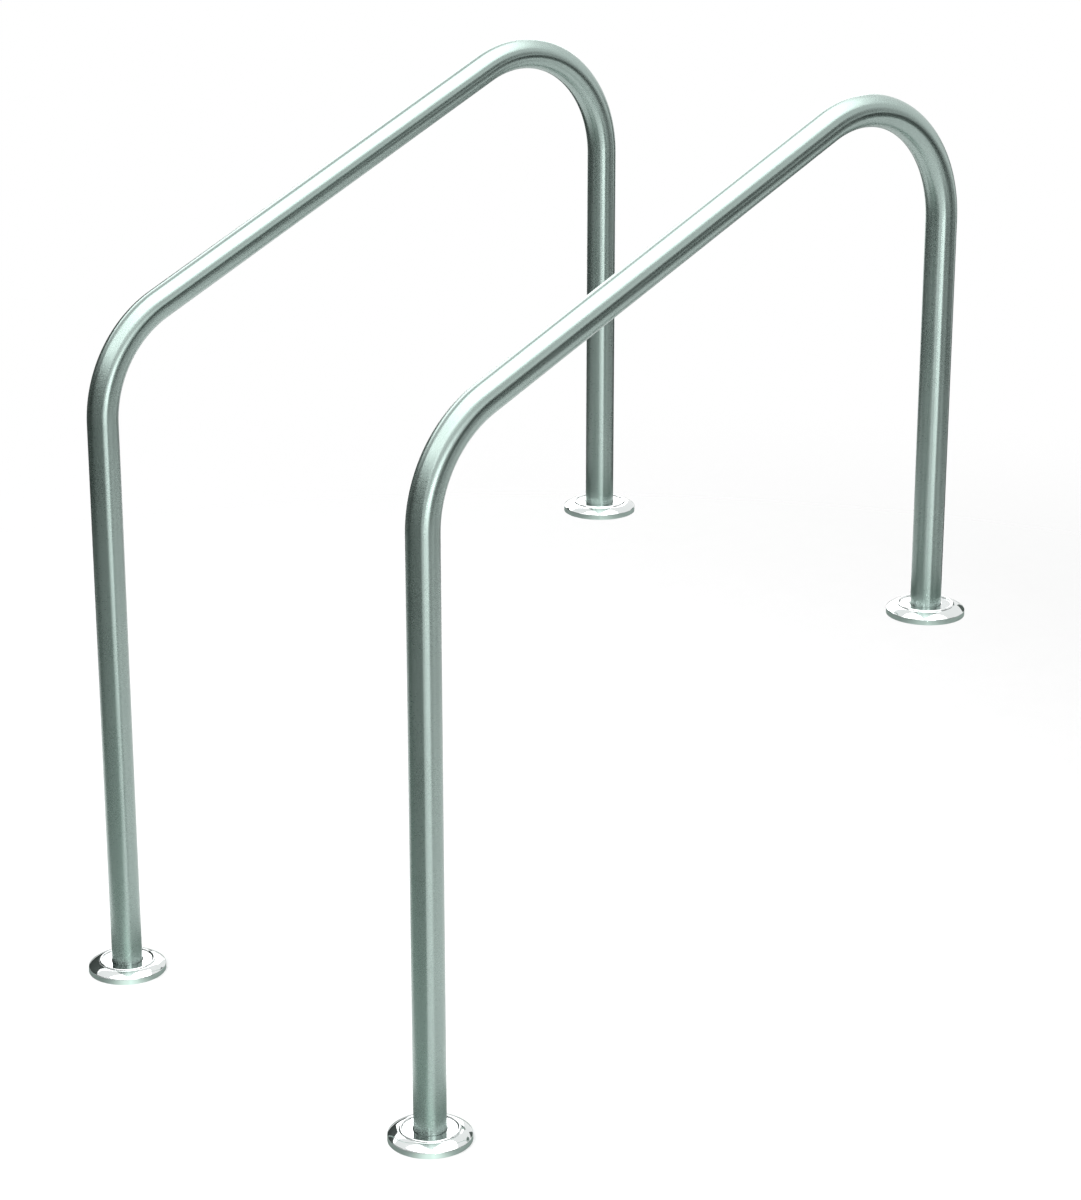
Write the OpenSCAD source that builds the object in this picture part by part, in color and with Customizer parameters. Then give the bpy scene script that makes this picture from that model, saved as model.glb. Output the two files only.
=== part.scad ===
// Pair of stair handrails for a swimming pool, bolted down on four feet.
// Each rail is one bent tube: an upright lower leg, a sloping grip bar and an
// upright upper leg. Every leg is welded into a base flange, which a loose
// dished cover hides. The cover can be lifted up the leg to reach the anchors.
//
// Frame: X runs along the rails from the lower feet to the upper feet, Y runs
// across from the right rail to the left rail, and Z is up. The origin is midway
// between the four feet, on the level that the lower feet stand on.

/* [Stair] */
// Level distance from the lower legs to the upper legs
run = 915; // [800:1:1200]
// Height of the upper feet above the lower feet
rise = 505; // [300:1:560]
// Distance between the centre lines of the two rails
rail_gap = 680; // [500:1:1200]

/* [Rail tube] */
// Outside diameter of the tube
tube_d = 43; // [38:0.1:48.3]
// Wall thickness of the tube
tube_wall = 2; // [1.5:0.1:3]
// Height at which the lines of the lower leg and the grip bar cross
grip_h = 915; // [800:1:1050]
// Slope of the grip bar in degrees
slope = 24; // [18:0.5:35]
// Radius of both bends, to the middle of the tube
bend_r = 165; // [130:1:180]

/* [Base flange] */
// Width of the flange outside the bonding screw's washer
flange_edge = 11; // [10:0.5:13]
// Thickness of the flange
flange_t = 6; // [5:0.5:7]
// Width of the small bevel along the flange's upper edge
flange_bevel = 1; // [0.5:0.1:1.5]
// Radial clearance between the leg and the flange's socket
socket_gap = 0.1; // [0.05:0.05:0.2]
// Height of the leg's open end above the flange's underside
socket_recess = 1; // [0.5:0.5:2]
// Leg length of the fillet weld round the tube
weld_leg = 3.5; // [2.5:0.5:4]
// Root gap between the weld and the tube
weld_root = 0.05; // [0.05:0.05:0.1]

/* [Anchor holes] */
// Number of anchor holes in each foot
anchor_count = 4; // [3:1:4]
// Diameter of each anchor hole
anchor_hole = 9; // [7:0.5:11]
// Distance from the flange's edge to the middle of each anchor hole
anchor_edge = 12; // [10:0.5:13]

/* [Foot gasket] */
// Thickness of the rubber gasket under the flange
gasket_t = 2; // [1.5:0.5:3]
// How far the gasket reaches in beyond the outside of the leg
gasket_lap = 2.5; // [0:0.5:6]

/* [Cover] */
// Wall thickness of the cover
cover_wall = 1.5; // [1:0.1:1.8]
// Gap between the flange's edge and the inside of the rim
rim_gap = 3.5; // [2:0.5:6]
// Height of the rim above the flange's upper face
rim_rise = 0; // [0:0.5:2]
// Width of the domed shoulder between the rim and the raised ring's crest
dome_w = 17; // [15:0.5:19]
// Radius of the dome's section
dome_r = 30; // [24:1:60]
// Radius of the raised ring's section
ring_r = 2.2; // [2:0.1:2.6]
// Depth of the flat floor below the raised ring's crest
floor_depth = 2; // [1.5:0.1:2.5]
// Radial clearance between the cover and the leg
cover_gap = 0.8; // [0.5:0.1:0.9]
// Headroom between the bonding screw and the cover's floor
head_room = 0.5; // [0.3:0.1:2]

/* [Bonding screw] */
// Diameter of the screw that takes the earthing wire
screw_d = 6; // [5:1:6]
// Width across the flats of its head
screw_flats = 10; // [8:1:10]
// Height of its head
screw_head = 4; // [3:0.5:4]
// Diameter of the washer under its head
washer_d = 12; // [12:0.5:14]
// Thickness of that washer
washer_t = 1; // [0.8:0.1:1.6]
// Radial clearance of the screw in the flange
screw_gap = 0.05; // [0.05:0.05:0.1]
// Radial clearance of the screw in the washer
washer_gap = 0.2; // [0.1:0.1:0.3]
// Clearance between the washer and the weld
weld_gap = 2; // [1:0.5:2.5]
// Direction of the screw from the leg in degrees
screw_angle = 0; // [-10:5:10]

/* [Hidden] */
$fn = 96;
over = 1; // how far a cut runs past the face that it opens
seam = 0.01; // width of the seam between a bend and the grip bar
seam_ring = 1; // length of the ring that bridges it

tube_r = tube_d / 2;
screw_r = tube_r + weld_leg + weld_gap + washer_d / 2;
flange_d = 2 * (screw_r + washer_d / 2 + flange_edge);
flange_top = gasket_t + flange_t;
leg_end = gasket_t + socket_recess;
anchor_r = flange_d / 2 - anchor_edge;
anchor_turn = 45;

// Bends: where each one starts and ends on the lines of the legs and the bar
lower_turn = 90 - slope;
upper_turn = 90 + slope;
lower_bend_z = grip_h - bend_r * tan(lower_turn / 2);
upper_bend_z = grip_h + run * tan(slope) - bend_r * tan(upper_turn / 2);
lower_centre = [bend_r, lower_bend_z];
upper_centre = [run - bend_r, upper_bend_z];
bar_length = norm(upper_centre - lower_centre);

// Cover: the dome's arc runs from the top of the rim to the raised ring
cover_r = flange_d / 2 + rim_gap + cover_wall;
rim_h = flange_top + rim_rise;
floor_under = flange_top + washer_t + screw_head + head_room;
floor_top = floor_under + cover_wall;
cover_h = floor_top + floor_depth;
crest_r = cover_r - dome_w;
rim_point = [cover_r, rim_h];
ring_point = [crest_r, floor_top];
dome_chord = ring_point - rim_point;
dome_middle = (rim_point + ring_point) / 2;
dome_reach = sqrt(pow(dome_r, 2) - pow(norm(dome_chord) / 2, 2));
dome_inward = [-dome_chord[1], dome_chord[0]] / norm(dome_chord);
dome_centre = dome_middle + dome_reach * dome_inward;

// Feet: each rail has a foot on the lower and on the upper level
SIDES = ["right", "left"];
LEVELS = ["lower", "upper"];
FOOT_PIECES = ["base_flange", "weld", "gasket", "cover"];
EARTH_PIECES = ["bonding_screw", "bonding_washer"];

// Moves a rail to its own side
module on_side(side)
    translate([-run / 2, (side == "left" ? 1 : -1) * rail_gap / 2, 0])
        children();

// Moves a foot to the bottom of its own leg
module on_foot(side, level)
    on_side(side)
        translate(level == "upper" ? [run, 0, rise] : [0, 0, 0])
            children();

// Turns a shape drawn with Y as its height upright
module upright()
    rotate([90, 0, 0])
        children();

// The tube's cross-section, or a thinner ring in the middle of its wall
module tube_section(inset = 0)
    difference() {
        circle(r = tube_r - inset);
        circle(r = tube_r - tube_wall + inset);
    }

// An upright leg of the given length with its bend. The bend's centre is the
// middle, the leg stands on the side that dir gives, and the bend sweeps through
// turn degrees from the angle start, counted up from +X.
module leg_and_bend(length, start, turn, dir) {
    translate([dir * bend_r, 0, -length])
        linear_extrude(length)
            tube_section();
    upright()
        rotate_extrude(angle = turn, start = start)
            translate([bend_r, 0])
                tube_section();
}

// The grip bar stops a hairline short of both bends, and a ring in the middle of
// its wall bridges each of these seams, so that the rail is one solid.
module grip_bar() {
    translate([0, 0, seam])
        linear_extrude(bar_length - 2 * seam)
            tube_section();
    for (z = [0, bar_length])
        translate([0, 0, z - seam_ring / 2])
            linear_extrude(seam_ring)
                tube_section(tube_wall / 4);
}

// One bent tube, open at both ends: leg, bend, grip bar, bend, leg
module rail_tube()
    color("lightslategray") {
        translate([lower_centre[0], 0, lower_centre[1]]) {
            leg_and_bend(lower_bend_z - leg_end, upper_turn, lower_turn, -1);
            rotate([0, -slope, 0])
                translate([0, 0, bend_r])
                    rotate([0, 90, 0])
                        grip_bar();
        }
        translate([upper_centre[0], 0, upper_centre[1]])
            leg_and_bend(upper_bend_z - rise - leg_end, 0, upper_turn, 1);
    }

// Moves a hole or a screw out from the leg by the radius r
module out_from_leg(r, angle)
    rotate([0, 0, angle])
        translate([r, 0, 0])
            children();

// The holes that the anchors go through, cut from z = 0 up to the height h
module anchor_holes(h)
    for (i = [0 : anchor_count - 1])
        out_from_leg(anchor_r, anchor_turn + i * 360 / anchor_count)
            translate([0, 0, -over])
                cylinder(d = anchor_hole, h = h + 2 * over);

// Round plate that the leg is welded into. The upper feet carry the bonding screw.
module base_flange(level)
    color("silver")
        difference() {
            translate([0, 0, gasket_t]) {
                cylinder(d = flange_d, h = flange_t - flange_bevel);
                translate([0, 0, flange_t - flange_bevel])
                    cylinder(d1 = flange_d, d2 = flange_d - 2 * flange_bevel, h = flange_bevel);
            }
            translate([0, 0, -over])
                cylinder(r = tube_r + socket_gap, h = flange_top + 2 * over);
            anchor_holes(flange_top);
            if (level == "upper")
                out_from_leg(screw_r, screw_angle)
                    cylinder(r = screw_d / 2 + screw_gap, h = flange_top + over);
        }

// Fillet weld with a rounded face, on top of the flange and round the tube
module weld()
    color("gray")
        translate([0, 0, flange_top])
            rotate_extrude()
                intersection() {
                    translate([tube_r, 0])
                        circle(r = weld_leg);
                    translate([tube_r + weld_root, 0])
                        square(weld_leg);
                }

// Rubber ring between the flange and the deck
module gasket()
    color("dimgray")
        difference() {
            cylinder(d = flange_d, h = gasket_t);
            translate([0, 0, -over])
                cylinder(r = tube_r - gasket_lap, h = gasket_t + 2 * over);
            anchor_holes(gasket_t);
        }

// Half section of the cover: rim, domed shoulder, raised ring and flat floor
module cover_section() {
    translate([cover_r - cover_wall, 0])
        square([cover_wall, rim_h]);
    intersection() {
        difference() {
            translate(dome_centre)
                circle(r = dome_r);
            translate(dome_centre)
                circle(r = dome_r - cover_wall);
        }
        translate([crest_r, 0])
            square([dome_w, cover_h]);
    }
    intersection() {
        translate([crest_r, cover_h - ring_r])
            circle(r = ring_r);
        translate([0, floor_under])
            square([cover_r, cover_h]);
    }
    translate([tube_r + cover_gap, floor_under])
        square([crest_r - tube_r - cover_gap, cover_wall]);
}

// Loose cover that hides the flange and slides on the leg
module cover()
    color("gainsboro")
        rotate_extrude()
            cover_section();

// Hexagon screw for the earthing wire, its shank inside the flange
module bonding_screw()
    color("darkgray")
        out_from_leg(screw_r, screw_angle) {
            translate([0, 0, gasket_t])
                cylinder(d = screw_d, h = flange_t + washer_t);
            translate([0, 0, flange_top + washer_t])
                cylinder(d = screw_flats / cos(30), h = screw_head, $fn = 6);
        }

// Washer that presses the wire against the flange
module bonding_washer()
    color("lightgray")
        out_from_leg(screw_r, screw_angle)
            translate([0, 0, flange_top])
                difference() {
                    cylinder(d = washer_d, h = washer_t);
                    translate([0, 0, -over])
                        cylinder(r = screw_d / 2 + washer_gap, h = washer_t + 2 * over);
                }

for (side = SIDES) {
    on_side(side) rail_tube();
    for (level = LEVELS) {
        foot = str(side, "_", level);
        on_foot(side, level) base_flange(level);
        on_foot(side, level) weld();
        on_foot(side, level) gasket();
        on_foot(side, level) cover();
    }
    on_foot(side, "upper") bonding_screw();
    on_foot(side, "upper") bonding_washer();
}
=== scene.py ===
"""Looks for a pair of bent-tube pool handrails.

The packed CAD model gives the frame: which bodies there are and where each node
lies. Each operator below makes one kind of piece round it, and the panel lists
them in the order in which they are run. All lengths are in metres.
"""

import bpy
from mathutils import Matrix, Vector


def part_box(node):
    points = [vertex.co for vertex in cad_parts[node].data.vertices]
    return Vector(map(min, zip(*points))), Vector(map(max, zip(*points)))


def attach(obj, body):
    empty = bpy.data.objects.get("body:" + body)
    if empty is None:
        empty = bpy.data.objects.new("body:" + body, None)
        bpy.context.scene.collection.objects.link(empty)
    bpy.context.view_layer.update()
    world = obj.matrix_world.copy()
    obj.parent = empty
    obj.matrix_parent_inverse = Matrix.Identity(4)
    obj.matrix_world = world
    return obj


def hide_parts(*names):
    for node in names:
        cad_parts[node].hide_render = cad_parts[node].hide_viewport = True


bl_info = {
    "name": "Pool Handrails",
    "version": (1, 0, 0),
    "blender": (4, 5, 0),
    "location": "3D View > Sidebar > Handrails",
    "description": "Builds the tubes, covers, welds and fixings of a pair of pool handrails",
    "category": "Add Mesh",
}

import math

import bpy
import numpy as np
from mathutils import Vector

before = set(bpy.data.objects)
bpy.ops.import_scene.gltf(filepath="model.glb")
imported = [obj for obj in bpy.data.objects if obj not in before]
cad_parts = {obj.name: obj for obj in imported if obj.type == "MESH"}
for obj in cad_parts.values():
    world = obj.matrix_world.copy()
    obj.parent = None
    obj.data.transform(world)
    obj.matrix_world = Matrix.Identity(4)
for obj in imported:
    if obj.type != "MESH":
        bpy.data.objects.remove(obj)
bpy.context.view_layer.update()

SIDES = ("right", "left")
FEET = [f"{side}_{level}" for side in SIDES for level in ("lower", "upper")]
MM = 0.001


def middle(node):
    """The middle of a CAD node's box."""
    low, high = (np.array(corner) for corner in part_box(node))
    return (low + high) / 2


def spread(node):
    """The size of a CAD node's box along X, Y and Z."""
    low, high = (np.array(corner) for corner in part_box(node))
    return high - low


def foot_of(foot):
    """Where the axis of a leg meets the surface that its foot stands on."""
    centre = middle(f"{foot}_gasket")
    return np.array([centre[0], centre[1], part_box(f"{foot}_gasket")[0][2]])


# ---------------------------------------------------------------- sizes


class HandrailTube(bpy.types.PropertyGroup):
    """Sizes of the bent tube."""

    diameter: bpy.props.FloatProperty(
        name="Diameter", description="Outside diameter of the tube",
        default=float(spread("right_rail_tube")[1]), unit="LENGTH")
    wall: bpy.props.FloatProperty(
        name="Wall", description="Wall thickness of the tube",
        default=2 * MM, unit="LENGTH")
    grip_height: bpy.props.FloatProperty(
        name="Grip height", description="Height at which the lines of the lower leg and the grip bar cross",
        default=915 * MM, unit="LENGTH")
    slope: bpy.props.FloatProperty(
        name="Slope", description="Slope of the grip bar",
        default=math.radians(24), subtype="ANGLE")
    bend: bpy.props.FloatProperty(
        name="Bend radius", description="Radius of both bends, to the middle of the tube",
        default=165 * MM, unit="LENGTH")
    deburr: bpy.props.FloatProperty(
        name="Deburr", description="Width of the small bevel on the tube's cut ends",
        default=0.3 * MM, unit="LENGTH")


class HandrailCover(bpy.types.PropertyGroup):
    """Sizes of the sliding cover over a foot."""

    diameter: bpy.props.FloatProperty(
        name="Diameter", description="Outside diameter of the rim",
        default=float(spread("right_lower_cover")[0]), unit="LENGTH")
    height: bpy.props.FloatProperty(
        name="Height", description="Height of the raised ring's crest",
        default=float(spread("right_lower_cover")[2]), unit="LENGTH")
    wall: bpy.props.FloatProperty(
        name="Wall", description="Wall thickness of the cover",
        default=1.5 * MM, unit="LENGTH")
    rim: bpy.props.FloatProperty(
        name="Rim height", description="Height of the upright rim",
        default=8 * MM, unit="LENGTH")
    shoulder: bpy.props.FloatProperty(
        name="Shoulder", description="Width of the domed shoulder, from the rim to the ring's crest",
        default=17 * MM, unit="LENGTH")
    dome: bpy.props.FloatProperty(
        name="Dome radius", description="Radius of the shoulder's section",
        default=30 * MM, unit="LENGTH")
    ring: bpy.props.FloatProperty(
        name="Ring radius", description="Radius of the raised ring's section",
        default=2.2 * MM, unit="LENGTH")
    floor_depth: bpy.props.FloatProperty(
        name="Floor depth", description="Depth of the flat floor below the ring's crest",
        default=2 * MM, unit="LENGTH")
    clearance: bpy.props.FloatProperty(
        name="Clearance", description="Radial clearance round the leg",
        default=0.8 * MM, unit="LENGTH")
    edge: bpy.props.FloatProperty(
        name="Edge", description="Radius of the softened edges",
        default=0.5 * MM, unit="LENGTH")


class HandrailFixings(bpy.types.PropertyGroup):
    """Sizes of the weld, the bonding screw and its washer."""

    weld_leg: bpy.props.FloatProperty(
        name="Weld leg", description="Leg length of the fillet weld",
        default=float(spread("right_lower_weld")[2]), unit="LENGTH")
    ripple: bpy.props.FloatProperty(
        name="Ripple", description="Depth of the weld's ripples",
        default=0.22 * MM, unit="LENGTH")
    ripples: bpy.props.IntProperty(
        name="Ripples", description="Number of ripples round the weld", default=88)
    head: bpy.props.FloatProperty(
        name="Head height", description="Height of the screw's hexagon head",
        default=4 * MM, unit="LENGTH")
    flats: bpy.props.FloatProperty(
        name="Across flats", description="Width of the head across its flats",
        default=10 * MM, unit="LENGTH")
    shank: bpy.props.FloatProperty(
        name="Shank", description="Diameter of the screw's shank",
        default=6 * MM, unit="LENGTH")
    washer_hole: bpy.props.FloatProperty(
        name="Washer hole", description="Diameter of the washer's hole",
        default=6.4 * MM, unit="LENGTH")


class HandrailFinish(bpy.types.PropertyGroup):
    """Colours of the metal and the rubber."""

    satin: bpy.props.FloatVectorProperty(
        name="Satin steel", description="Colour of the brushed tube",
        default=(0.337, 0.415, 0.388), size=3, subtype="COLOR", min=0, max=1)
    polished: bpy.props.FloatVectorProperty(
        name="Polished steel", description="Colour of the polished covers",
        default=(0.76, 0.79, 0.785), size=3, subtype="COLOR", min=0, max=1)
    turned: bpy.props.FloatVectorProperty(
        name="Turned steel", description="Colour of the turned flanges",
        default=(0.52, 0.54, 0.53), size=3, subtype="COLOR", min=0, max=1)
    bead: bpy.props.FloatVectorProperty(
        name="Weld bead", description="Colour of the welds",
        default=(0.46, 0.45, 0.42), size=3, subtype="COLOR", min=0, max=1)
    fixing: bpy.props.FloatVectorProperty(
        name="Screw steel", description="Colour of the bonding screws and washers",
        default=(0.58, 0.565, 0.53), size=3, subtype="COLOR", min=0, max=1)
    rubber: bpy.props.FloatVectorProperty(
        name="Rubber", description="Colour of the gaskets",
        default=(0.028, 0.029, 0.03), size=3, subtype="COLOR", min=0, max=1)


class HandrailStage(bpy.types.PropertyGroup):
    """Floor, lamps and camera."""

    floor_tone: bpy.props.FloatVectorProperty(
        name="Floor", description="Colour of the plain floor",
        default=(0.96, 0.96, 0.96), size=3, subtype="COLOR", min=0, max=1)
    fill: bpy.props.FloatProperty(
        name="Fill", description="Strength of the light from all round", default=0.06)
    overhead: bpy.props.FloatProperty(
        name="Overhead", description="Power of the large overhead softbox", default=155, unit="POWER")
    back: bpy.props.FloatProperty(
        name="Back", description="Power of the wide softbox behind", default=150, unit="POWER")
    side: bpy.props.FloatProperty(
        name="Side", description="Power of the long softbox on the left", default=125, unit="POWER")
    key: bpy.props.FloatProperty(
        name="Key", description="Power of the small lamp beside the camera", default=23, unit="POWER")
    glint: bpy.props.FloatProperty(
        name="Glint", description="Power of the thin low lamp beside it", default=4.5, unit="POWER")
    lens: bpy.props.FloatProperty(
        name="Lens", description="Focal length in millimetres", default=93)
    camera_place: bpy.props.FloatVectorProperty(
        name="Camera place", description="Where the camera stands",
        default=(-2.7060, -3.0875, 1.9000), size=3, subtype="XYZ", unit="LENGTH")
    camera_down: bpy.props.FloatProperty(
        name="Camera tilt", description="How far the camera looks down",
        default=math.radians(18.319), subtype="ANGLE")
    camera_turn: bpy.props.FloatProperty(
        name="Camera turn", description="Direction in which the camera looks, counted from +X to +Y",
        default=math.radians(48.428), subtype="ANGLE")


# ---------------------------------------------------------------- surfaces


def all_round(columns):
    """Angles that share out a full turn evenly."""
    return np.linspace(0, 2 * np.pi, columns, endpoint=False)


def arc(centre, radius, start, end, count):
    """Points of a circle's arc: the centre plus the radius times the cosine and
    the sine of an angle that runs evenly from start to end, in degrees."""
    angle = np.radians(np.linspace(start, end, count))
    return np.stack([centre[0] + radius * np.cos(angle), centre[1] + radius * np.sin(angle)], 1)


def straight(start, end, count):
    """Points of a straight line between two points, without the two ends. Those
    next to the ends lie a small hold away from them, so that the shading stays
    flat up to the edge."""
    hold, most = 0.25 * MM, 0.3
    start, end = np.array(start), np.array(end)
    share = min(hold / np.linalg.norm(end - start), most)
    t = np.linspace(share, 1 - share, count)[:, None]
    return start + (end - start) * t


def blend(a, corner, b, count):
    """A smooth curve from a to b that leaves and arrives along the lines to a
    corner: a(1-t)(1-t) + 2 corner t(1-t) + b t t, for t from 0 to 1."""
    t = np.linspace(0, 1, count)[:, None]
    return np.array(a) * (1 - t) ** 2 + 2 * np.array(corner) * t * (1 - t) + np.array(b) * t ** 2


def eased(points, radius, count):
    """A polygon with each corner replaced by an arc that touches both sides: the
    arc's centre lies on the corner's bisector at radius / sin(half the angle)."""
    out = []
    points = np.array(points)
    for i, p in enumerate(points):
        a = points[i - 1] - p
        b = points[(i + 1) % len(points)] - p
        a, b = a / np.linalg.norm(a), b / np.linalg.norm(b)
        half = math.acos(float(np.clip(a @ b, -1, 1))) / 2
        centre = p + (a + b) / np.linalg.norm(a + b) * radius / math.sin(half)
        first, last = p + a * radius / math.tan(half), p + b * radius / math.tan(half)
        t = np.linspace(0, 1, count)[:, None]
        chord = first * (1 - t) + last * t - centre
        out.append(centre + radius * chord / np.linalg.norm(chord, axis=1)[:, None])
    return np.concatenate(out)


def turned(profile, foot, columns):
    """A profile turned about an upright axis: a profile point at radius r and
    height z gives the points (r cos t, r sin t, z) for t all round."""
    t = all_round(columns)
    r, z = profile[:, 0, None], profile[:, 1, None]
    points = np.stack([r * np.cos(t), r * np.sin(t), z + 0 * t], -1)
    return (points + foot).reshape(-1, 3)


def closed_grid(rows, columns):
    """Quads of a grid that closes on itself in both directions. Each joins a
    point to the same point of the next row, then to that row's next point, and
    back to the next point of its own row."""
    r, c = np.meshgrid(np.arange(rows), np.arange(columns), indexing="ij")
    r2, c2 = (r + 1) % rows, (c + 1) % columns
    corners = [r * columns + c, r2 * columns + c, r2 * columns + c2, r * columns + c2]
    return np.stack(corners, -1).reshape(-1, 4)


def turned_grid(rows, columns):
    """Quads of a closed profile that is turned. The profile runs anticlockwise,
    with its radius to the right and its height up, so each quad of the closed
    grid is taken the other way round to face outwards."""
    return closed_grid(rows, columns)[:, ::-1]


def corner_values(rows, columns, u, v):
    """Per face corner, the values that a grid closed in both directions has
    there. u has one value more than the rows and v one more than the columns, so
    that the last face ends at the last value and not at the first."""
    r, c = np.meshgrid(np.arange(rows), np.arange(columns), indexing="ij")
    r4 = np.stack([r, r + 1, r + 1, r], -1)
    c4 = np.stack([c, c, c + 1, c + 1], -1)
    return np.stack([u[r4], v[c4]], -1).reshape(-1, 2)


def new_piece(name, points, quads, body, node, material):
    """Puts points and quads into a mesh whose object sits at the origin, and
    ties the object to its CAD body, its material slot and the node it shows."""
    mesh = bpy.data.meshes.new(name)
    mesh.from_pydata(points.tolist(), [], quads.tolist())
    mesh.polygons.foreach_set("use_smooth", np.ones(len(quads), bool))
    mesh.validate()
    mesh.update()
    mesh.materials.append(material)
    piece = bpy.data.objects.new(name, mesh)
    bpy.context.scene.collection.objects.link(piece)
    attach(piece, body)
    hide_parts(node)
    return piece


def add_map(mesh, name, values):
    """Writes a UV map from an array of two numbers per face corner."""
    layer = mesh.uv_layers.new(name=name)
    layer.uv.foreach_set("vector", values.astype(np.float32).ravel())


def add_lay(mesh, values):
    """Writes the vector attribute "lay", which the brushed grain follows."""
    layer = mesh.attributes.new("lay", "FLOAT_VECTOR", "POINT")
    layer.data.foreach_set("vector", values.astype(np.float32).ravel())


# ---------------------------------------------------------------- materials

STRAW = (0.50, 0.41, 0.27)  # weld metal that the heat has tinted
DUST = (0.075, 0.074, 0.07)  # rubber under pale dust


class Sheet:
    """A new material with a Principled shader, and the nodes in front of it."""

    def __init__(self, name):
        self.material = bpy.data.materials.new(name)
        self.material.use_nodes = True
        self.tree = self.material.node_tree
        self.shader = self.tree.nodes["Principled BSDF"]

    def feed(self, socket, value):
        """Links a socket to an input, or sets the input's own value."""
        if isinstance(value, bpy.types.NodeSocket):
            self.tree.links.new(value, socket)
        else:
            socket.default_value = value

    def add(self, kind, out=0, **inputs):
        """Adds a node and returns one of its outputs. A name that starts with
        set_ is a setting of the node, a letter with a number is the input at that
        place, and any other name is an input's own."""
        node = self.tree.nodes.new(kind)
        for key, value in inputs.items():
            if key.startswith("set_"):
                setattr(node, key[4:], value)
            elif key[1:].isdigit():
                self.feed(node.inputs[int(key[1:])], value)
            else:
                self.feed(node.inputs[key], value)
        return node.outputs[out]

    def shade(self, **inputs):
        """Feeds the shader's inputs."""
        for key, value in inputs.items():
            self.feed(self.shader.inputs[key.replace("_", " ")], value)

    def place(self):
        """A point's place on the object."""
        return self.add("ShaderNodeTexCoord", out=3)

    def foot_place(self):
        """A point's place from its foot's axis, the same on every foot: how far it
        lies from the middle, less how far the feet do, on either side."""
        foot = foot_of("right_lower")
        away = self.add("ShaderNodeVectorMath", set_operation="ABSOLUTE", i0=self.place())
        axis = (abs(foot[0]), abs(foot[1]), 0.0)
        return self.add("ShaderNodeVectorMath", set_operation="SUBTRACT", i0=away, i1=axis)

    def clouds(self, place, scale, detail, roughness):
        """Noise from 0 to 1 over a place."""
        return self.add("ShaderNodeTexNoise", Vector=place, Scale=scale, Detail=detail, Roughness=roughness)

    def rings(self, local, scale, detail, roughness):
        """The same noise over the distance from the foot's axis."""
        level = self.add("ShaderNodeVectorMath", set_operation="MULTIPLY", i0=local, i1=(1.0, 1.0, 0.0))
        radius = self.add("ShaderNodeVectorMath", out=1, set_operation="LENGTH", i0=level)
        return self.add("ShaderNodeTexNoise", set_noise_dimensions="1D", W=radius, Scale=scale,
                        Detail=detail, Roughness=roughness)

    def between(self, value, low, high):
        """How far a value lies from low, as 0, to high, as 1."""
        return self.add("ShaderNodeMapRange", Value=value, i1=low, i2=high)

    def mixed(self, mask, first, second):
        """The first colour where the mask is 0, the second where it is 1."""
        return self.add("ShaderNodeMix", out=2, set_data_type="RGBA", i0=mask,
                        i6=(*first, 1), i7=(*second, 1))

    def shades(self, mask, colour, dark, light):
        """The colour times dark where the mask is 0, times light where it is 1."""
        return self.mixed(mask, [c * dark for c in colour], [min(1.0, c * light) for c in colour])

    def swing(self, value, factor, base):
        """The value times a factor, plus a base."""
        return self.add("ShaderNodeMath", set_operation="MULTIPLY_ADD", i0=value, i1=factor, i2=base)

    def bump(self, height, strength, distance, **under):
        """A normal that tilts with a height, over another bump where one is given."""
        return self.add("ShaderNodeBump", Height=height, Strength=strength, Distance=distance, **under)


def satin_steel(finish):
    """Steel brushed round the tube: fine grooves a few tenths of a millimetre
    apart that run round it, over a soft mottle. Both follow the straightened
    tube, so they turn with it in the bends, and the gloss is drawn out along it."""
    sheet = Sheet("satin_steel")
    lay = sheet.add("ShaderNodeAttribute", out=1, set_attribute_name="lay")
    fine = sheet.add("ShaderNodeMapping", Vector=lay, Scale=(2200, 70, 70))
    coarse = sheet.add("ShaderNodeMapping", Vector=lay, Scale=(900, 260, 260))
    grooves = sheet.clouds(fine, 1.0, 2.0, 0.6)
    mottle = sheet.clouds(coarse, 1.0, 3.0, 0.65)
    broad = sheet.clouds(lay, 9.0, 2.0, 0.5)
    sheet.shade(
        Base_Color=sheet.shades(sheet.between(mottle, 0.3, 0.7), finish.satin, 0.95, 1.05),
        Roughness=sheet.swing(mottle, 0.08, sheet.swing(broad, 0.08, 0.20)),
        Normal=sheet.bump(grooves, 0.14, 0.03 * MM),
        Tangent=sheet.add("ShaderNodeTangent", set_direction_type="UV_MAP", set_uv_map="Length"),
        Metallic=1.0,
        Anisotropic=0.88)
    return sheet.material


def polished_steel(finish):
    """Mirror-polished pressed steel: nearly smooth, with a faint polishing haze,
    hair-fine rings from the buffing wheel and a slight waviness in the sheet."""
    sheet = Sheet("polished_steel")
    local = sheet.foot_place()
    haze = sheet.clouds(local, 70.0, 4.0, 0.6)
    rings = sheet.rings(local, 2600.0, 2.0, 0.6)
    waves = sheet.clouds(local, 45.0, 1.0, 0.4)
    sheet.shade(
        Base_Color=sheet.shades(haze, finish.polished, 0.95, 1.05),
        Roughness=sheet.swing(haze, 0.06, 0.03),
        Normal=sheet.bump(rings, 0.12, 0.01 * MM, Normal=sheet.bump(waves, 0.5, 0.4 * MM)),
        Metallic=1.0)
    return sheet.material


def turned_steel(finish):
    """Flange steel faced on a lathe: fine rings round the leg, dulled in patches."""
    sheet = Sheet("turned_steel")
    local = sheet.foot_place()
    rings = sheet.rings(local, 2200.0, 3.0, 0.7)
    stain = sheet.clouds(local, 38.0, 5.0, 0.65)
    sheet.shade(
        Base_Color=sheet.shades(stain, finish.turned, 0.78, 1.12),
        Roughness=sheet.swing(stain, 0.25, 0.24),
        Normal=sheet.bump(rings, 0.5, 0.05 * MM),
        Metallic=1.0)
    return sheet.material


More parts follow.
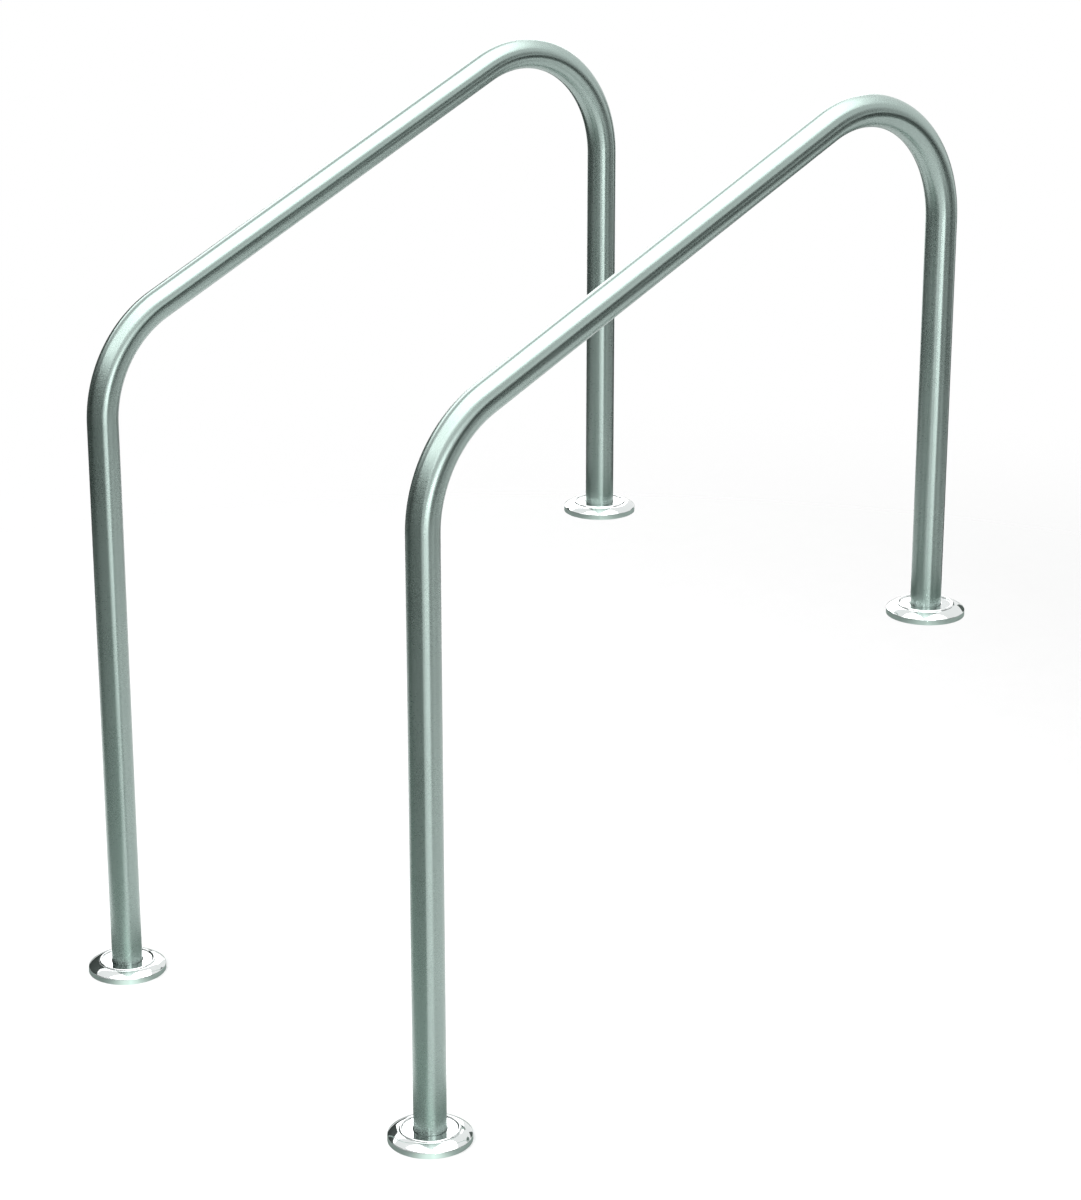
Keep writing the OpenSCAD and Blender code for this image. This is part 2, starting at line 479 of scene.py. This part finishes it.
def weld_steel(finish):
    """Weld metal: dull and ripply, straw-coloured in places from the heat."""
    sheet = Sheet("weld_steel")
    local = sheet.foot_place()
    heat = sheet.clouds(local, 60.0, 3.0, 0.6)
    grit = sheet.clouds(local, 1400.0, 3.0, 0.6)
    sheet.shade(
        Base_Color=sheet.mixed(sheet.between(heat, 0.4, 0.65), finish.bead, STRAW),
        Roughness=sheet.swing(grit, 0.2, 0.32),
        Normal=sheet.bump(grit, 0.4, 0.1 * MM),
        Metallic=1.0)
    return sheet.material


def screw_steel(finish):
    """Cold-formed screw steel with small handling marks."""
    sheet = Sheet("screw_steel")
    local = sheet.foot_place()
    marks = sheet.clouds(local, 420.0, 4.0, 0.7)
    grain = sheet.add("ShaderNodeTexVoronoi", Vector=local, Scale=1800.0)
    sheet.shade(
        Base_Color=sheet.shades(marks, finish.fixing, 0.8, 1.12),
        Roughness=sheet.swing(marks, 0.2, 0.2),
        Normal=sheet.bump(grain, 0.25, 0.06 * MM),
        Metallic=1.0)
    return sheet.material


def gasket_rubber(finish):
    """Dull black rubber with a fine moulded tooth and a little pale dust."""
    sheet = Sheet("gasket_rubber")
    place = sheet.place()
    dust = sheet.clouds(place, 90.0, 5.0, 0.7)
    tooth = sheet.clouds(place, 2600.0, 2.0, 0.6)
    sheet.shade(
        Base_Color=sheet.mixed(sheet.between(dust, 0.45, 0.8), finish.rubber, DUST),
        Roughness=sheet.swing(dust, 0.2, 0.62),
        Normal=sheet.bump(tooth, 0.4, 0.1 * MM))
    return sheet.material


# ---------------------------------------------------------------- pieces


def rail_line(tube, side, at):
    """Points and outward normals of a rail's middle line, at given shares of its
    length, and the length itself.

    The line has five parts: the lower leg straight up, a bend of 90 degrees less
    the slope, the grip bar, a bend of 90 degrees plus the slope, and the upper
    leg straight down. On a straight part a point is the part's start plus its
    direction times the length run. On a bend it is the centre plus the bend's
    radius along the outward normal, which turns with the length run over the
    radius."""
    lower, upper = foot_of(f"{side}_lower"), foot_of(f"{side}_upper")
    cut = float(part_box(f"{side}_rail_tube")[0][2])
    run, rise = upper[0] - lower[0], upper[2] - lower[2]
    r, slope = tube.bend, tube.slope
    turns = math.pi / 2 - slope, math.pi / 2 + slope
    low_z = tube.grip_height - r * math.tan(turns[0] / 2)
    high_z = tube.grip_height + run * math.tan(slope) - r * math.tan(turns[1] / 2)
    centres = np.array([[r, low_z], [run - r, high_z]])
    lengths = np.array([low_z - cut, r * turns[0], np.linalg.norm(centres[1] - centres[0]),
                        r * turns[1], high_z - rise - cut])
    starts = np.concatenate([[0], np.cumsum(lengths)])
    total = starts[-1]
    s = at * total
    past = [s - start for start in starts[:5]]
    part = np.clip(np.searchsorted(starts, s, side="right") - 1, 0, 4)
    heading = np.select(
        [part == i for i in range(5)],
        [np.full_like(s, math.pi / 2), math.pi / 2 - past[1] / r, np.full_like(s, slope),
         slope - past[3] / r, np.full_like(s, -math.pi / 2)])
    along = np.stack([np.cos(heading), np.sin(heading)], -1)
    out = np.stack([-np.sin(heading), np.cos(heading)], -1)
    bar = centres[0] + r * np.array([-math.sin(slope), math.cos(slope)])
    place = np.select(
        [(part == i)[:, None] for i in range(5)],
        [np.array([0, cut]) + along * past[0][:, None], centres[0] + r * out,
         bar + along * past[2][:, None], centres[1] + r * out,
         np.array([run, high_z]) + along * past[4][:, None]])
    points = np.stack([place[:, 0] + lower[0], np.full_like(s, lower[1]), place[:, 1]], -1)
    normals = np.stack([out[:, 0], 0 * s, out[:, 1]], -1)
    return points, normals, total


def tube_skin(tube, side, rows, columns):
    """The tube's whole skin as one grid: the outside from end to end, the small
    bevel and face of the far end, the bore back again, and the near end. A point
    is the middle line's point plus the radius times the outward normal times
    cos t plus the sideways direction times sin t.

    Returns the points, their place on the straightened tube, each grid row's
    share of the tube's length, and that length."""
    outer, inner = tube.diameter / 2, tube.diameter / 2 - tube.wall
    face_out, face_in = outer - tube.deburr, inner + tube.deburr
    total = rail_line(tube, side, np.zeros(1))[2]
    bevel = tube.deburr / total
    there = np.linspace(bevel, 1 - bevel, rows)
    back = np.linspace(1 - bevel, bevel, rows // 2)
    at = np.concatenate([there, [1, 1], back, [0, 0]])
    radius = np.concatenate([np.full(rows, outer), [face_out, face_in],
                             np.full(rows // 2, inner), [face_in, face_out]])[:, None]
    points, normals, total = rail_line(tube, side, at)
    t = all_round(columns)
    sideways = np.array([0.0, 1.0, 0.0])
    spokes = normals[:, None] * np.cos(t)[:, None] + sideways * np.sin(t)[:, None]
    skin = points[:, None] + radius[:, None] * spokes
    lay = np.stack(np.broadcast_arrays(at[:, None] * total, radius * np.cos(t), radius * np.sin(t)), -1)
    return skin.reshape(-1, 3), lay.reshape(-1, 3), at, total


class HANDRAIL_OT_tubes(bpy.types.Operator):
    """Makes the two bent tubes, each a closed skin with its bore and cut ends."""

    bl_idname = "handrail.tubes"
    bl_label = "Bent tubes"

    def execute(self, context):
        tube = context.scene.handrail_tube
        material = satin_steel(context.scene.handrail_finish)
        rows, columns = 480, 96
        for side in SIDES:
            skin, lay, at, total = tube_skin(tube, side, rows, columns)
            piece = new_piece(f"{side}_satin_tube", skin, closed_grid(len(at), columns), "root",
                              f"{side}_rail_tube", material)
            add_lay(piece.data, lay)
            girth = math.pi * tube.diameter
            lengths, round_tube = np.append(at, at[0]) * total, np.linspace(0, girth, columns + 1)
            add_map(piece.data, "Length", corner_values(len(at), columns, lengths, round_tube))
            self.add_bake_map(piece.data, at, rows, columns)
        return {"FINISHED"}

    def add_bake_map(self, mesh, at, rows, columns):
        """Cuts the outside into strips of equal length that lie side by side, with
        the bore and the ends, which nobody sees, in a narrow strip beside them."""
        strips, pitch, wide, narrow, margin = 4, 0.235, 0.23, 0.06, 0.005
        r, c = np.meshgrid(np.arange(len(at)), np.arange(columns), indexing="ij")
        outside = r < rows - 1
        strip = np.minimum((at[r] * strips).astype(int), strips - 1)
        step = np.where(outside, strips / rows, 1 / rows)
        low = np.clip(np.where(outside, at[r] * strips - strip, 1 - at[r]), 0, 1 - step)
        x = np.stack([low, low + step, low + step, low], -1)
        base = np.where(outside, strip, strips) * pitch
        width = np.where(outside, wide, narrow)
        y = base[..., None] + width[..., None] * np.stack([c, c, c + 1, c + 1], -1) / columns
        corners = margin + np.stack([x, y], -1) * (1 - 2 * margin)
        add_map(mesh, "OFBake", corners.reshape(-1, 2))


def cover_profile(cover, leg_radius):
    """A cover's section as a closed line of radii and heights.

    It goes up the rim, over the domed shoulder, whose arc has the given radius
    and meets the rim's top and the ring, over the raised ring, across the flat
    floor to the bore, and back along the underside a wall's thickness below."""
    rim_r = cover.diameter / 2
    crest = rim_r - cover.shoulder
    floor = cover.height - cover.floor_depth
    bore = leg_radius + cover.clearance
    wall, edge = cover.wall, cover.edge
    under, inside = floor - wall, rim_r - wall
    # the dome's centre lies inwards of the middle of the line that it spans
    rim_top, ring_foot = np.array([rim_r, cover.rim]), np.array([crest, floor])
    span = ring_foot - rim_top
    length = np.linalg.norm(span)
    inward = np.array([-span[1], span[0]]) / length
    centre = (rim_top + ring_foot) / 2 + math.sqrt(cover.dome ** 2 - (length / 2) ** 2) * inward

    def angle(point):
        return math.degrees(math.atan2(point[1] - centre[1], point[0] - centre[0]))

    # where the ring's section leaves the dome, and where it meets the floor
    ring_z = cover.height - cover.ring
    toward = np.array([crest, ring_z]) - centre
    apart = np.linalg.norm(toward)
    inset = (cover.dome ** 2 - cover.ring ** 2 + apart ** 2) / (2 * apart)
    rise = math.sqrt(cover.dome ** 2 - inset ** 2)
    unit = toward / apart
    meet = centre + inset * unit + rise * np.array([unit[1], -unit[0]])
    ring_out = math.degrees(math.atan2(meet[1] - ring_z, meet[0] - crest))
    ring_in = math.degrees(math.asin((floor - ring_z) / cover.ring))
    ring_end = np.array([crest - cover.ring * math.cos(math.radians(ring_in)), floor])
    # how far each arc stops short of a corner, which a blend then rounds
    softened, floor_gap, dome_gap, ring_gap = 1.6 * edge, 0.5 * MM, 0.6, 9
    floor_start = ring_end - [floor_gap, 0]
    rim_high = np.array([rim_r, cover.rim - softened])
    dome = arc(centre, cover.dome, angle(rim_top) + math.degrees(softened / cover.dome),
               angle(meet) - dome_gap, 34)
    ring = arc((crest, ring_z), cover.ring, ring_out + ring_gap, 180 - ring_in - ring_gap, 22)
    inner = arc(centre, cover.dome - wall, angle((crest, under)), angle((inside, cover.rim - wall)), 16)
    radius, height = inner.T
    inner = inner[(radius < inside - 0.1 * MM) & (radius > crest - 1 * MM) & (height < under)]
    return np.concatenate([
        arc((rim_r - edge, edge), edge, -90, 0, 5), straight((rim_r, edge), rim_high, 8),
        blend(rim_high, rim_top, dome[0], 8), dome[1:],
        blend(dome[-1], meet, ring[0], 5)[1:], ring[1:],
        blend(ring[-1], ring_end, floor_start, 5)[1:], straight(floor_start, (bore + edge, floor), 10),
        arc((bore + edge, floor - edge), edge, 90, 180, 5),
        arc((bore + edge, under + edge), edge, 180, 270, 5),
        straight((bore + edge, under), inner[0], 8), inner,
        straight(inner[-1], (inside, edge), 5), arc((inside + edge, edge), edge, 180, 270, 5),
    ])


class HANDRAIL_OT_covers(bpy.types.Operator):
    """Makes the four polished covers, each riding on its own sliding body."""

    bl_idname = "handrail.covers"
    bl_label = "Sliding covers"

    def execute(self, context):
        scene = context.scene
        profile = cover_profile(scene.handrail_cover, scene.handrail_tube.diameter / 2)
        material = polished_steel(scene.handrail_finish)
        columns = 224
        quads = turned_grid(len(profile), columns)
        for foot in FEET:
            new_piece(f"{foot}_polished_cover", turned(profile, foot_of(foot), columns), quads,
                      f"{foot}_sliding_cover", f"{foot}_cover", material)
        return {"FINISHED"}


class HANDRAIL_OT_welds(bpy.types.Operator):
    """Makes the four fillet welds. The section's outer arc is pulled in by a
    ripple that repeats round the leg, so the bead reads as laid in steps."""

    bl_idname = "handrail.welds"
    bl_label = "Fillet welds"

    def execute(self, context):
        scene = context.scene
        fix = scene.handrail_fixings
        material = weld_steel(scene.handrail_finish)
        leg = scene.handrail_tube.diameter / 2
        root = leg + 0.05 * MM
        columns = fix.ripples * 8
        t = all_round(columns)
        lift = np.linspace(0, np.pi / 2, 13)[:, None]
        # slanted, rounded steps: the ripple's phase runs back up the bead
        wave = np.abs(np.sin(fix.ripples * t / 2 + 1.1 * np.sin(lift)))
        size = fix.weld_leg - fix.ripple * (1 - wave) * np.sin(2 * lift) ** 0.5
        # the last row is the corner between the tube and the flange
        r = np.concatenate([np.maximum(leg + size * np.cos(lift), root), np.full((1, columns), root)])
        z = np.concatenate([size * np.sin(lift), np.zeros((1, columns))])
        quads = turned_grid(len(r), columns)
        for foot in FEET:
            axis = foot_of(foot)
            base = float(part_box(f"{foot}_weld")[0][2])
            points = np.stack([axis[0] + r * np.cos(t), axis[1] + r * np.sin(t), z + base], -1)
            new_piece(f"{foot}_weld_bead", points.reshape(-1, 3), quads, "root",
                      f"{foot}_weld", material)
        return {"FINISHED"}


def hexagon(flats, t):
    """Radius of a hexagon in the direction t: half its flats over the cosine of
    the angle to the nearest flat's middle."""
    return flats / 2 / np.cos((t + np.pi / 6) % (np.pi / 3) - np.pi / 6)


class HANDRAIL_OT_bonding(bpy.types.Operator):
    """Makes the two bonding screws and their washers on the upper feet."""

    bl_idname = "handrail.bonding"
    bl_label = "Bonding screws"

    def execute(self, context):
        fix = context.scene.handrail_fixings
        material = screw_steel(context.scene.handrail_finish)
        columns = 144
        for side in SIDES:
            self.screw(side, fix, columns, material)
            self.washer(side, fix, columns, material)
        return {"FINISHED"}

    def screw(self, side, fix, columns, material):
        """A screw as rings about its own axis, from the head's middle out and
        down: a dished round top, a chamfer that cuts the hexagon's corners at 30
        degrees, the six flats, the underside, the shank, and a closed lower end."""
        node = f"{side}_bonding_screw"
        axis = middle(node)
        low, high = (float(corner[2]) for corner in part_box(node))
        t = all_round(columns)
        six, flat, shank = hexagon(fix.flats, t), fix.flats / 2, fix.shank / 2
        round_top, under = 0.94 * flat, high - fix.head
        chamfer = high - np.maximum(six - round_top, 0) * math.tan(math.radians(30))
        hub, ease, dish, point = 0.02 * MM, 0.08 * MM, 0.25 * MM, 0.5 * MM
        rings = [
            (hub, high - dish), (0.56 * flat, high - dish), (0.62 * flat, high - 0.8 * dish),
            (0.70 * flat, high), (round_top - 0.2 * MM, high), (np.minimum(six, round_top), high),
            (six - ease, chamfer + 0.02 * MM), (six, chamfer - 0.15 * MM),
            (six, under + 0.3 * MM), (six, under + ease), (six - ease, under),
            (shank + 0.3 * MM, under), (shank, under - 0.2 * MM),
            (shank, low + point), (shank - point, low), (hub, low),
        ]
        r, z = (np.stack([np.broadcast_to(ring[i], t.shape) for ring in rings]) for i in (0, 1))
        points = np.stack([axis[0] + r * np.cos(t), axis[1] + r * np.sin(t), z], -1)
        new_piece(f"{side}_hex_screw", points.reshape(-1, 3), closed_grid(len(rings), columns), "root",
                  node, material)

    def washer(self, side, fix, columns, material):
        """A flat ring with eased edges, turned about the screw's axis."""
        node = f"{side}_bonding_washer"
        axis, size = middle(node), spread(node)
        low, high = axis[2] - size[2] / 2, axis[2] + size[2] / 2
        inner, outer = fix.washer_hole / 2, size[0] / 2
        section = eased([(inner, low), (outer, low), (outer, high), (inner, high)], 0.12 * MM, 4)
        points = turned(section, axis * [1, 1, 0], columns)
        new_piece(f"{side}_plain_washer", points, turned_grid(len(section), columns), "root",
                  node, material)


def dress(kind, material):
    """Puts a material in every slot of each foot's CAD node of one kind. Their
    meshes stay as they are."""
    for foot in FEET:
        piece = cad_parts[f"{foot}_{kind}"]
        if not piece.material_slots:
            raise RuntimeError(f"{foot}_{kind} has no material slot")
        for slot in piece.material_slots:
            slot.material = material


class HANDRAIL_OT_flanges(bpy.types.Operator):
    """Gives the four CAD flanges their lathe-faced steel."""

    bl_idname = "handrail.flanges"
    bl_label = "Base flanges"

    def execute(self, context):
        dress("base_flange", turned_steel(context.scene.handrail_finish))
        return {"FINISHED"}


class HANDRAIL_OT_gaskets(bpy.types.Operator):
    """Gives the four CAD gaskets their rubber."""

    bl_idname = "handrail.gaskets"
    bl_label = "Foot gaskets"

    def execute(self, context):
        dress("gasket", gasket_rubber(context.scene.handrail_finish))
        return {"FINISHED"}


# ---------------------------------------------------------------- stage

CARD_TINT = (0.9, 1.08, 1.0)  # the dark reflections lean to green


def lamp(name, place, aim, size, power):
    """A rectangular area lamp that shines from place towards aim."""
    light = bpy.data.lights.new(name, "AREA")
    light.shape = "RECTANGLE"
    light.size, light.size_y = size
    light.energy = power
    holder = bpy.data.objects.new(name, light)
    holder.location = place
    holder.rotation_euler = (Vector(aim) - Vector(place)).to_track_quat("-Z", "Y").to_euler()
    holder.visible_camera = False
    bpy.context.scene.collection.objects.link(holder)


def on_floor(*points):
    """The corners of a mat that lies just above the floor."""
    return [(x, y, 4 * MM) for x, y in points]


def upright(start, end, low, high):
    """The four corners of an upright card over a line on the floor."""
    return [(*start, low), (*end, low), (*end, high), (*start, high)]


def flag(name, points, tones, faces=((0, 1, 2, 3),)):
    """A card that only reflections see, with a tone at each of its points."""
    mesh = bpy.data.meshes.new(name)
    mesh.from_pydata([list(map(float, p)) for p in points], [], [list(map(int, f)) for f in faces])
    layer = mesh.attributes.new("tone", "FLOAT_COLOR", "POINT")
    colours = np.array([(*[tone * c for c in CARD_TINT], 1.0) for tone in tones], np.float32)
    layer.data.foreach_set("color", colours.ravel())
    sheet = Sheet(name)
    tone = sheet.add("ShaderNodeAttribute", set_attribute_name="tone")
    sheet.shade(Base_Color=tone, Roughness=1.0, Specular_IOR_Level=0.0)
    mesh.materials.append(sheet.material)
    card = bpy.data.objects.new(name, mesh)
    bpy.context.scene.collection.objects.link(card)
    card.visible_camera = False
    card.visible_diffuse = False
    card.visible_shadow = False


class HANDRAIL_OT_stage(bpy.types.Operator):
    """Makes the floor, the lamps, the dark cards, the world and the camera."""

    bl_idname = "handrail.stage"
    bl_label = "Stage"

    def execute(self, context):
        scene = context.scene
        stage = scene.handrail_stage
        scene.view_settings.view_transform = "Standard"
        self.floor(stage)
        self.world(scene, stage)
        lamp("overhead_softbox", (0.2, -0.5, 4.0), (0.2, -0.5, 0.0), (4.6, 4.6), stage.overhead)
        lamp("back_softbox", (1.6, 4.6, 2.4), (0.2, -0.3, 0.9), (7.0, 3.6), stage.back)
        lamp("side_softbox", (-3.6, -0.4, 3.0), (-0.3, -0.3, 0.8), (6.0, 2.0), stage.side)
        lamp("key_lamp", (-1.45, -4.15, 1.0), (-0.2, -0.2, 0.6), (1.3, 1.2), stage.key)
        lamp("glint_lamp", (-2.4, -3.75, 0.55), (-0.2, -0.2, 0.4), (0.06, 0.6), stage.glint)
        self.cards(scene.handrail_tube.slope)
        self.mats(stage, scene.handrail_cover.diameter / 2)
        self.camera(scene, stage)
        return {"FINISHED"}

    def floor(self, stage):
        """A level disc of rings round a middle point. Far from the object it gives
        way to the plain backdrop."""
        rings, columns, reach = 24, 96, 16.0
        radius = reach * (np.arange(1, rings + 1) / rings) ** 2
        disc = turned(np.stack([radius, 0 * radius], -1), np.zeros(3), columns)
        hub = [(i, (i + 1) % columns, len(disc)) for i in range(columns)]
        mesh = bpy.data.meshes.new("floor")
        mesh.from_pydata(disc.tolist() + [(0, 0, 0)], [],
                         closed_grid(rings, columns)[:-columns].tolist() + hub)
        mesh.update()
        sheet = Sheet("plain_floor")
        place = sheet.place()
        grain = sheet.clouds(place, 14.0, 3.0, 0.6)
        sheet.shade(Base_Color=sheet.shades(grain, stage.floor_tone, 0.985, 1.015),
                    Roughness=0.9, Specular_IOR_Level=0.1)
        away = sheet.add("ShaderNodeVectorMath", out=1, set_operation="LENGTH", i0=place)
        fade = sheet.add("ShaderNodeMapRange", Value=away, i1=0.7, i2=3.2,
                         set_interpolation_type="SMOOTHSTEP")
        clear = sheet.add("ShaderNodeBsdfTransparent")
        faded = sheet.add("ShaderNodeMixShader", i0=fade, i1=sheet.shader.outputs[0], i2=clear)
        sheet.feed(sheet.tree.nodes["Material Output"].inputs["Surface"], faded)
        mesh.materials.append(sheet.material)
        floor = bpy.data.objects.new("floor", mesh)
        bpy.context.scene.collection.objects.link(floor)

    def world(self, scene, stage):
        """A plain white backdrop for the camera and for what is reflected or seen
        through, and a soft grey fill for everything else."""
        world = bpy.data.worlds.new("studio")
        world.use_nodes = True
        scene.world = world
        tree = world.node_tree
        back = tree.nodes["Background"]
        back.inputs["Color"].default_value = (1, 1, 1, 1)
        path = tree.nodes.new("ShaderNodeLightPath")
        seen = path.outputs["Is Camera Ray"]
        for ray in ("Is Glossy Ray", "Is Transmission Ray"):
            either = tree.nodes.new("ShaderNodeMath")
            either.operation = "MAXIMUM"
            tree.links.new(seen, either.inputs[0])
            tree.links.new(path.outputs[ray], either.inputs[1])
            seen = either.outputs[0]
        level = tree.nodes.new("ShaderNodeMapRange")
        level.inputs["To Min"].default_value = stage.fill
        level.inputs["To Max"].default_value = 1.0
        tree.links.new(seen, level.inputs["Value"])
        tree.links.new(level.outputs[0], back.inputs["Strength"])

    def cards(self, slope):
        """Dark cards round the object, which only reflections see: they are painted
        dark reflections on the metal. Three mats lie on the floor, on the left,
        on the right and behind on the right, for the sides of the legs. Five cards
        stand round them for the legs and the covers. One more slants along the
        front as the grip bars do, and gives each bar its thin dark line, a painted
        reflection."""
        left = on_floor((-0.60, -0.455), (-0.60, 0.20), (-0.85, 1.60), (1.7, 1.9), (1.7, 3.6),
                        (-1.6, 3.60), (-3.4, 3.60), (-2.85, -2.70), (-1.35, -1.20), (-1.7, 1.0))
        flag("left_mat", left, (0.46, 0.40, 0.22, 0.12, 0.08, 0.08, 0.08, 0.05, 0.10, 0.09),
             ((0, 1, 9, 8), (1, 2, 9), (2, 3, 4, 5), (2, 5, 9), (5, 6, 7, 9), (7, 8, 9)))
        flag("right_mat", on_floor((1.2, -2.9), (1.9, -4.3), (4.4, -0.9), (2.9, -0.6)),
             (0.22, 0.10, 0.10, 0.22))
        flag("rear_mat", on_floor((1.75, -0.45), (4.6, -0.45), (4.6, 2.9), (1.95, 2.2)),
             (0.10, 0.06, 0.06, 0.10))
        flag("left_card", upright((-1.9, -1.55), (-1.9, 2.3), 0.4, 1.9), (0.12, 0.04, 0.04, 0.12))
        flag("low_card", upright((1.9, -3.5), (3.7, -1.0), 0.0, 0.75), (0.05, 0.05, 0.05, 0.05))
        flag("far_card", upright((0.75, 2.3), (1.25, 2.3), 0.0, 0.62), (0.05, 0.05, 0.05, 0.05))
        flag("right_card", upright((2.6, -0.05), (2.6, 0.85), 0.4, 1.2), (0.12, 0.12, 0.12, 0.12))
        flag("back_card", upright((-1.9, 2.3), (0.75, 2.3), 0.0, 1.7), (0.06, 0.06, 0.09, 0.09))
        outline = ((-0.6, 2.05), (4.6, 2.05), (4.6, 1.0), (-0.6, 1.0), (-0.6, 0.1), (4.6, 0.1))
        slanted = [(x, -4.2, z + math.tan(slope) * (x - 2.0)) for x, z in outline]
        flag("slanted_card", slanted, (0.05, 0.05, 0.04, 0.04, 0.45, 0.45), ((0, 1, 2, 3), (3, 2, 5, 4)))

    def mats(self, stage, cover_radius):
        """A ring on the ground round each foot, which only reflections see: a painted
        reflection for the rims. Its tone runs from dark on the left, a painted shade,
        over pale in front, a painted highlight, to grey on the right: the pale part
        is a bell curve of the angle from the camera's side."""
        columns, dark, grey, width = 72, 0.24, 0.10, 0.42
        inner, outer, lift = cover_radius + 0.1 * MM, 160 * MM, 0.2 * MM
        section = np.array([[inner, lift], [outer, lift]])
        ring = closed_grid(2, columns)[:columns]
        points, tones, faces = [], [], []
        for i, foot in enumerate(FEET):
            # the pale part is the painted highlight at the front of each rim, stronger on the lower feet
            pale = 0.70 if foot.endswith("lower") else 0.30
            toward = np.array(stage.camera_place) - foot_of(foot)
            off = (all_round(columns) - math.atan2(toward[1], toward[0]) + np.pi) % (2 * np.pi) - np.pi
            tone = dark + grey * (off > 0) + pale * np.exp(-(off / width) ** 2)
            points.append(turned(section, foot_of(foot), columns))
            tones.append(np.tile(tone, 2))
            faces.append(ring + 2 * columns * i)
        flag("foot_mats", np.concatenate(points), np.concatenate(tones), np.concatenate(faces))

    def camera(self, scene, stage):
        """The camera, with its tilt and turn."""
        data = bpy.data.cameras.new("camera")
        data.lens = stage.lens
        data.sensor_width = 36
        data.clip_start, data.clip_end = 0.1, 100
        camera = bpy.data.objects.new("camera", data)
        camera.location = stage.camera_place
        camera.rotation_euler = (math.pi / 2 - stage.camera_down, 0, stage.camera_turn - math.pi / 2)
        scene.collection.objects.link(camera)
        scene.camera = camera


# ---------------------------------------------------------------- panel


class HANDRAIL_PT_panel(bpy.types.Panel):
    """Lists the operators and the sizes they read."""

    bl_idname = "HANDRAIL_PT_panel"
    bl_label = "Pool Handrails"
    bl_space_type = "VIEW_3D"
    bl_region_type = "UI"
    bl_category = "Handrails"

    def draw(self, context):
        layout = self.layout
        for operator in OPERATORS:
            layout.operator(operator.bl_idname)
        for name, group in GROUPS.items():
            box = layout.box()
            box.label(text=group.__doc__.rstrip("."))
            for prop in group.__annotations__:
                box.prop(getattr(context.scene, name), prop)


OPERATORS = (
    HANDRAIL_OT_stage, HANDRAIL_OT_tubes, HANDRAIL_OT_covers, HANDRAIL_OT_flanges,
    HANDRAIL_OT_welds, HANDRAIL_OT_gaskets, HANDRAIL_OT_bonding,
)
GROUPS = {
    "handrail_tube": HandrailTube, "handrail_cover": HandrailCover, "handrail_fixings": HandrailFixings,
    "handrail_finish": HandrailFinish, "handrail_stage": HandrailStage,
}


def register():
    """Adds the property groups, the operators and the panel to Blender."""
    for group in GROUPS.values():
        bpy.utils.register_class(group)
    for name, group in GROUPS.items():
        setattr(bpy.types.Scene, name, bpy.props.PointerProperty(type=group))
    for operator in OPERATORS:
        bpy.utils.register_class(operator)
    bpy.utils.register_class(HANDRAIL_PT_panel)


def unregister():
    """Takes them out again."""
    bpy.utils.unregister_class(HANDRAIL_PT_panel)
    for operator in reversed(OPERATORS):
        bpy.utils.unregister_class(operator)
    for name in GROUPS:
        delattr(bpy.types.Scene, name)
    for group in reversed(GROUPS.values()):
        bpy.utils.unregister_class(group)


def main():
    """Registers the classes and runs the operators in order."""
    register()
    for operator in OPERATORS:
        group, name = operator.bl_idname.split(".")
        getattr(getattr(bpy.ops, group), name)()


if __name__ == "__main__":
    main()
